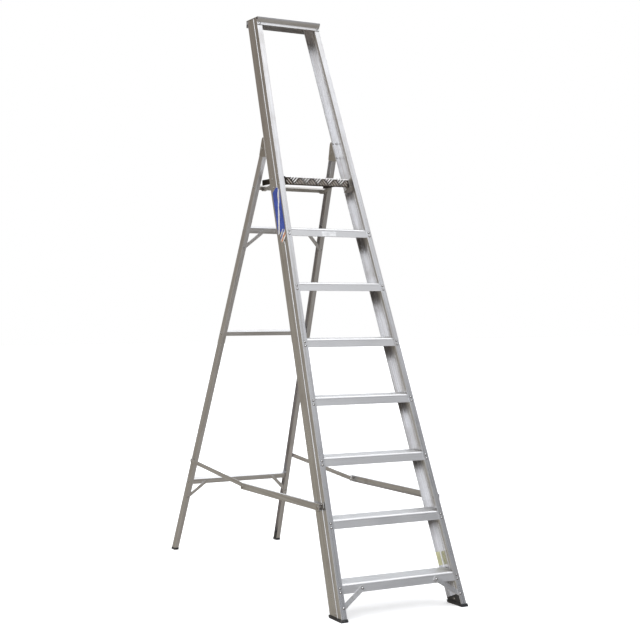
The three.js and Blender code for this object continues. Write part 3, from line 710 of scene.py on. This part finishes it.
def tread_rivets(side, mirror):
    """Two into each end of a tread's front lip, and two into its rear lip."""
    places = []
    for number in range(TREADS):
        top = FIRST_TREAD_TOP + number * RISE
        for drop in (12.5, 28):
            along = stile_height(top - drop, 0)
            places.append(at(mirror @ STILE, FLANGE_MIDDLE, 0, along, ABOUT_Y))
        for drop in (6.5, 19):
            along = stile_height(top - drop, STILE_DEPTH)
            places.append(at(mirror @ STILE, FLANGE_MIDDLE, STILE_DEPTH, along, ABOUT_Y.inverted()))
    rivets(f"{side}_tread_rivets", "front_frame", places, 3.8, 2.4)


def hinge_rivets(side, mirror):
    """Four through the rear flange, with their heads on its front face."""
    pin = STILE.inverted() @ (FRAME @ Vector((LEG_X, HINGE.y, HINGE.z)))
    face = STILE_DEPTH - STILE_WALL
    places = [
        at(mirror @ STILE, FLANGE_MIDDLE + across, face, pin.z - 3.5 + along, ABOUT_Y)
        for across in (-8.3, 7.2)
        for along in (-36.5, 36.5)
    ]
    rivets(f"{side}_hinge_rivets", "front_frame", places, 3.0, 1.4)


BRACKET_RIVETS = ((787, 1766), (770, 1728), (737, 1786), (720, 1743))


def bracket_rivets(side, mirror):
    """Four through the web into the platform's bracket, on its outer face."""
    places = []
    for y, z in BRACKET_RIVETS:
        spot = STILE.inverted() @ (LADDER @ Vector((HALF_SPREAD, y, z)))
        places.append(at(mirror @ STILE, 0, spot.y, spot.z, ABOUT_X))
    rivets(f"{side}_bracket_rivets", "front_frame", places, 3.4, 2.4)


STAY_PLATE = {"thick": 3, "rivets": ((236, 421), (197, 427))}


def plate_rivets(side, mirror):
    """Two on the stay plate, and the tail of the stay's bolt inside the web."""
    face = BEAD["proud"] + GAP + STAY_PLATE["thick"]
    places = []
    for y, z in STAY_PLATE["rivets"]:
        spot = STILE.inverted() @ (LADDER @ Vector((HALF_SPREAD, y, z)))
        places.append(at(mirror @ STILE, face, spot.y, spot.z, ABOUT_X))
    pin = joints["right_front_stay_swing"]
    spot = STILE.inverted() @ (FRAME @ pin)
    places.append(at(mirror @ STILE, -STILE_WALL, spot.y, spot.z, ABOUT_X.inverted()))
    rivets(f"{side}_stay_plate_rivets", "front_frame", places, 3.4, 2.2)


FRONT_BRACE = {"tread_end": (172, 0.1, 123), "stile_end": (271, 0, 55)}


def brace_rivets(side, mirror):
    """One at either end of the knee brace under the lowest tread."""
    places = [at(mirror @ FRONT, *spot, ABOUT_Y) for spot in FRONT_BRACE.values()]
    rivets(f"{side}_front_brace_rivets", "front_frame", places, 4.4, 2.6)


CAP_LIP = {"thick": 3, "rivet_height": 2491}


def cap_rivets(side, mirror):
    """One through the cap's front lip."""
    lip = CAP_LIP["thick"] + GAP
    along = stile_height(CAP_LIP["rivet_height"], 0)
    place = at(mirror @ STILE, FLANGE_MIDDLE, -lip, along, ABOUT_Y)
    rivets(f"{side}_cap_rivets", "front_frame", [place], 3.8, 2.2)


BAR_FRONT = -10
BARS = {                                # along the legs, then the knee brace's inset and drop
    "upper": (-381, 84, 84),
    "middle": (-894, 0, 0),
    "lower": (-1679, 82, 81),
}
SUPPORT_ALONG = -180
BAR_RIVETS = (-4, 8)                    # depths in the leg


def rear_rivets(side, mirror):
    """Bar ends through the outside of the leg, and both ends of each knee brace."""
    places = []
    for along, inset, drop in BARS.values():
        for y in BAR_RIVETS:
            on_leg = LEG.inverted() @ (REAR @ Vector((leg_x(along) + LEG_WIDTH / 2, y, along)))
            places.append(at(mirror @ LEG, LEG_WIDTH / 2, on_leg.y, on_leg.z, ABOUT_X))
        if inset:
            foot = along - drop
            top = at(mirror @ REAR, leg_x(foot) - inset, BAR_FRONT, along - 3, ABOUT_Y)
            places += [top, at(mirror @ REAR, leg_x(foot), -LEG_DEPTH / 2, foot, ABOUT_Y)]
    for y in BAR_RIVETS:
        places.append(at(mirror @ LEG, LEG_WIDTH / 2, y, SUPPORT_ALONG, ABOUT_X))
    rivets(f"{side}_rear_rivets", "rear_frame", places, 3.4, 2.2)


for side, mirror in SIDES.items():
    foot_screw(side, mirror)
    strap_bolt(side, mirror)
    tread_rivets(side, mirror)
    hinge_rivets(side, mirror)
    bracket_rivets(side, mirror)
    plate_rivets(side, mirror)
    brace_rivets(side, mirror)
    cap_rivets(side, mirror)
    rear_rivets(side, mirror)

# ---------------------------------------------------------------- labels


def web_face(depth):
    """How far a stile's outer face stands out at a depth, over its bead."""
    from_bead = abs(depth - BEAD["at"])
    return min(max(BEAD["width"] / 2 - from_bead, 0), BEAD["proud"])


FILM = {"lift": 0.05, "thick": 0.25, "corner": 1.5}


def film(name, place, corners, material):
    """A flat rectangle of film on a face, from its corners in the place's X and Y."""
    (x0, y0), (x1, y1) = corners
    mesh = bmesh.new()
    inset = FILM["corner"]
    loop = [
        (x0 + inset, y0), (x1 - inset, y0), (x1, y0 + inset), (x1, y1 - inset),
        (x1 - inset, y1), (x0 + inset, y1), (x0, y1 - inset), (x0, y0 + inset),
    ]
    rings = [[place @ Vector((x, y, z)) for x, y in loop] for z in (FILM["lift"], FILM["thick"])]
    skin(mesh, rings)
    piece(name, mesh, [material], "front_frame")


LABEL = {"front": 10, "rear": 77, "low": 1612, "high": 1880}
CREST = (35, 1880)                      # highest point of its upper edge
END = {"height": 1676, "slope": -9}     # where the plain colours give way to the end block
STRIPE_SLOPE = -0.26                    # the pale stripe moves back as it goes down
BLOCK = {"front": 13, "rear": 60, "tip": 32, "shoulder": 1630}
BLOCK_DROP = BLOCK["shoulder"] - LABEL["low"]
BAND = {"pitch": 11, "slope": -1.6, "count": 16}
BAND_FINISH = (1, 3, 1, 2, 1, 0)        # pale, charcoal, pale, orange, pale, blue

# Lines across the label, each as a depth, a height and the depth it gains per unit of height.
LABEL_LINES = {
    "front crest": (*CREST, 0.9),
    "rear crest": (*CREST, -4.5),
    "stripe front": (13, 1855, STRIPE_SLOPE),
    "stripe rear": (27, 1855, STRIPE_SLOPE),
    "end": (LABEL["front"], END["height"], END["slope"]),
    "block front": (BLOCK["front"], BLOCK["shoulder"], 0.0),
    "block rear": (BLOCK["rear"], BLOCK["shoulder"], 0.0),
    "tip front": (BLOCK["tip"], LABEL["low"], (BLOCK["front"] - BLOCK["tip"]) / BLOCK_DROP),
    "tip rear": (BLOCK["tip"], LABEL["low"], (BLOCK["rear"] - BLOCK["tip"]) / BLOCK_DROP),
}
for band in range(BAND["count"]):
    height = LABEL["low"] + band * BAND["pitch"]
    LABEL_LINES[f"band {band}"] = (BLOCK["tip"], height, BAND["slope"])


def past(line, depth, height):
    """How far behind a line of the label a spot lies, in depth."""
    at_depth, at_height, slope = LABEL_LINES[line]
    return depth - at_depth - (height - at_height) * slope


def label_part(depth, height):
    """Which finish covers a spot of the label, or None outside its outline."""
    if past("end", depth, height) < 0:
        ahead = any(past(f"{part} front", depth, height) < 0 for part in ("block", "tip"))
        behind = any(past(f"{part} rear", depth, height) > 0 for part in ("block", "tip"))
        if ahead or behind:
            return None
        band = sum(past(f"band {n}", depth, height) > 0 for n in range(BAND["count"]))
        return BAND_FINISH[band % len(BAND_FINISH)]
    if past("front crest", depth, height) < 0 or past("rear crest", depth, height) > 0:
        return None
    if past("stripe front", depth, height) > 0 and past("stripe rear", depth, height) < 0:
        return 1
    return 0


def label():
    """One film on the left stile's outer face that lies over the bead."""
    half_bead, flat_bead = BEAD["width"] / 2, BEAD["width"] / 2 - BEAD["proud"]
    bends = [BEAD["at"] + d for d in (-half_bead, -flat_bead, flat_bead, half_bead)]
    depths = [LABEL["front"], *bends, LABEL["rear"]]
    lift, sheet = 0.15, 0.3
    mesh = bmesh.new()
    columns = [
        [mesh.verts.new((web_face(depth) + lift, depth, LABEL[end])) for end in ("low", "high")]
        for depth in depths
    ]
    for (a, b), (c, d) in zip(columns, columns[1:]):
        mesh.faces.new((a, c, d, b))
    for depth, height, slope in LABEL_LINES.values():
        everything = [*mesh.verts, *mesh.edges, *mesh.faces]
        bmesh.ops.bisect_plane(
            mesh, geom=everything, plane_co=(0, depth, height), plane_no=(0, 1, -slope)
        )
    outside = []
    for face in mesh.faces:
        middle = face.calc_center_median()
        found = label_part(middle.y, middle.z)
        if found is None:
            outside.append(face)
        else:
            face.material_index = found
    bmesh.ops.delete(mesh, geom=outside, context="FACES")
    bmesh.ops.solidify(mesh, geom=mesh.faces[:], thickness=-sheet)
    mesh.transform(SIDES["left"] @ STILE)
    piece(
        "side_label", mesh, [BLUE, PALE, ORANGE, CHARCOAL], "front_frame",
        ["label_front_strip", "label_rear_strip"],
    )


label()

TOP_TREAD = FIRST_TREAD_TOP + (TREADS - 1) * RISE
TREAD_FACE = STILE_WALL + GAP
TREAD_LABEL = ((-38, -36), (31, -13))
STILE_LABEL = ((-25.5, 190), (-5.5, 246))
up_to_tread = (TOP_TREAD + TREAD_FACE * math.sin(FRONT_LEAN)) / math.cos(FRONT_LEAN)
film(
    "tread_label", at(FRONT, 0, TREAD_FACE, up_to_tread, ABOUT_Y),
    TREAD_LABEL, CLEAR,
)
film(
    "stile_label", at(STILE, 0, STILE_DEPTH - STILE_WALL, 0, ABOUT_Y),
    STILE_LABEL, YELLOW,
)

# ---------------------------------------------------------------- floor, light and camera


def floor():
    """A pale studio floor. Its own glow keeps it even, and metal sees the studio instead of it."""
    bpy.ops.mesh.primitive_grid_add(
        x_subdivisions=8, y_subdivisions=8, size=60, location=(0, 0, -0.0005)
    )
    ground = bpy.context.object
    ground.name = "studio_floor"
    s = Shader("floor_paint")
    shade = s.noise(s.place, 0.6, detail=3)
    s.link(s.mix(s.ramp(shade, 0.3, 0.7), (0.86, 0.86, 0.86), (0.9, 0.9, 0.9)), "Base Color")
    s.set(Roughness=0.9, Specular_IOR_Level=0.1)
    s.set(Emission_Color=(1, 1, 1, 1), Emission_Strength=0.35)
    ground.data.materials.append(s.material)
    ground.visible_glossy = False


floor()


def soft_light(name, place, target, size, energy):
    data = bpy.data.lights.new(name, "AREA")
    data.shape = "RECTANGLE"
    data.size, data.size_y = size
    data.energy = energy
    light = bpy.data.objects.new(name, data)
    bpy.context.scene.collection.objects.link(light)
    light.location = place
    light.rotation_euler = (Vector(target) - Vector(place)).to_track_quat("-Z", "Y").to_euler()
    light.visible_camera = False


soft_light("key", (2.0, -2.8, 4.2), (0, 0, 1.6), (2.5, 2.0), 3)
soft_light("side", (-4.0, -1.5, 3.5), (0, 0, 1.2), (2.5, 2.5), 3)


# What the metal sees of the room: grey walls, then patches painted over them and each other,
# as a direction, the cosines where a patch starts and is full, and its colour. They are set so
# that the metal has the right tones from the camera's place.
WALLS = (0.345, 0.355, 0.375)
ROOM = (
    ((0, 0, -1), 0.05, 0.5, (0.35, 0.335, 0.3)),                     # floor
    ((-0.55, 0.83, 0), 0.5, 0.82, (0.28, 0.24, 0.2)),                # brown wall, rear left
    ((-0.5, 0.82, -0.28), 0.86, 0.97, (0.42, 0.39, 0.33)),           # its paler foot
    ((0.5, 0.86, 0.08), 0.78, 0.94, (0.74, 0.78, 0.83)),             # pale wall, rear right
    ((-0.48, -0.62, -0.62), 0.6, 0.9, (0.7, 0.6, 0.52)),             # warm floor, front left
    ((-0.46, -0.59, 0.66), 0.62, 0.94, (1.75, 1.79, 1.86)),          # large lamp, front left
    ((0.48, 0.6, 0.65), 0.8, 0.96, (1.1, 1.13, 1.18)),               # large lamp, rear right
    ((0.47, -0.87, -0.08), 0.8, 0.97, (0.24, 0.235, 0.24)),          # dark wall, front right
    ((0, 0, 1), 0.62, 0.82, (1.9, 1.93, 1.98)),                      # ceiling
    ((0.42, -0.3, 0.86), 0.96, 0.995, (2.0, 2.0, 2.05)),             # small lamp in it
)


def studio():
    """White for the camera, and the painted room for everything else."""
    world = bpy.data.worlds.new("studio")
    bpy.context.scene.world = world
    world.use_nodes = True
    tree = world.node_tree
    tree.nodes.clear()
    place = tree.nodes.new("ShaderNodeTexCoord").outputs["Generated"]

    def painted(under, toward, start, end, colour):
        """The room with a soft patch of colour towards a direction, between two cosines."""
        dot = tree.nodes.new("ShaderNodeVectorMath")
        dot.operation = "DOT_PRODUCT"
        dot.inputs[1].default_value = Vector(toward).normalized()
        tree.links.new(place, dot.inputs[0])
        share = tree.nodes.new("ShaderNodeMapRange")
        share.interpolation_type = "SMOOTHSTEP"
        share.inputs["From Min"].default_value = start
        share.inputs["From Max"].default_value = end
        tree.links.new(dot.outputs["Value"], share.inputs["Value"])
        mix = tree.nodes.new("ShaderNodeMix")
        mix.data_type = "RGBA"
        tree.links.new(share.outputs["Result"], mix.inputs["Factor"])
        if isinstance(under, tuple):
            mix.inputs[6].default_value = (*under, 1)
        else:
            tree.links.new(under, mix.inputs[6])
        mix.inputs[7].default_value = (*colour, 1)
        return mix.outputs[2]

    walls = WALLS
    for toward, start, end, colour in ROOM:
        walls = painted(walls, toward, start, end, colour)
    room = tree.nodes.new("ShaderNodeBackground")
    tree.links.new(walls, room.inputs["Color"])
    white = tree.nodes.new("ShaderNodeBackground")
    white.inputs["Color"].default_value = (1, 1, 1, 1)
    white.inputs["Strength"].default_value = 1.0
    path = tree.nodes.new("ShaderNodeLightPath")
    mix = tree.nodes.new("ShaderNodeMixShader")
    out = tree.nodes.new("ShaderNodeOutputWorld")
    tree.links.new(path.outputs["Is Camera Ray"], mix.inputs["Fac"])
    tree.links.new(room.outputs["Background"], mix.inputs[1])
    tree.links.new(white.outputs["Background"], mix.inputs[2])
    tree.links.new(mix.outputs["Shader"], out.inputs["Surface"])


studio()
bpy.context.scene.view_settings.view_transform = "Standard"

# Place in metres, then the turn below level, the roll and the heading, in degrees.
CAMERA = {"place": (-2.7392, -5.1489, 1.2263), "down": 0.789, "roll": -0.08, "heading": -28.695}

camera_data = bpy.data.cameras.new("camera")
camera_data.lens = 73.05
camera_data.sensor_width = 36
camera_data.clip_end = 200
camera = bpy.data.objects.new("camera", camera_data)
bpy.context.scene.collection.objects.link(camera)
camera.location = CAMERA["place"]
camera.rotation_euler = [
    math.radians(turn) for turn in (90 - CAMERA["down"], CAMERA["roll"], CAMERA["heading"])
]
bpy.context.scene.camera = camera
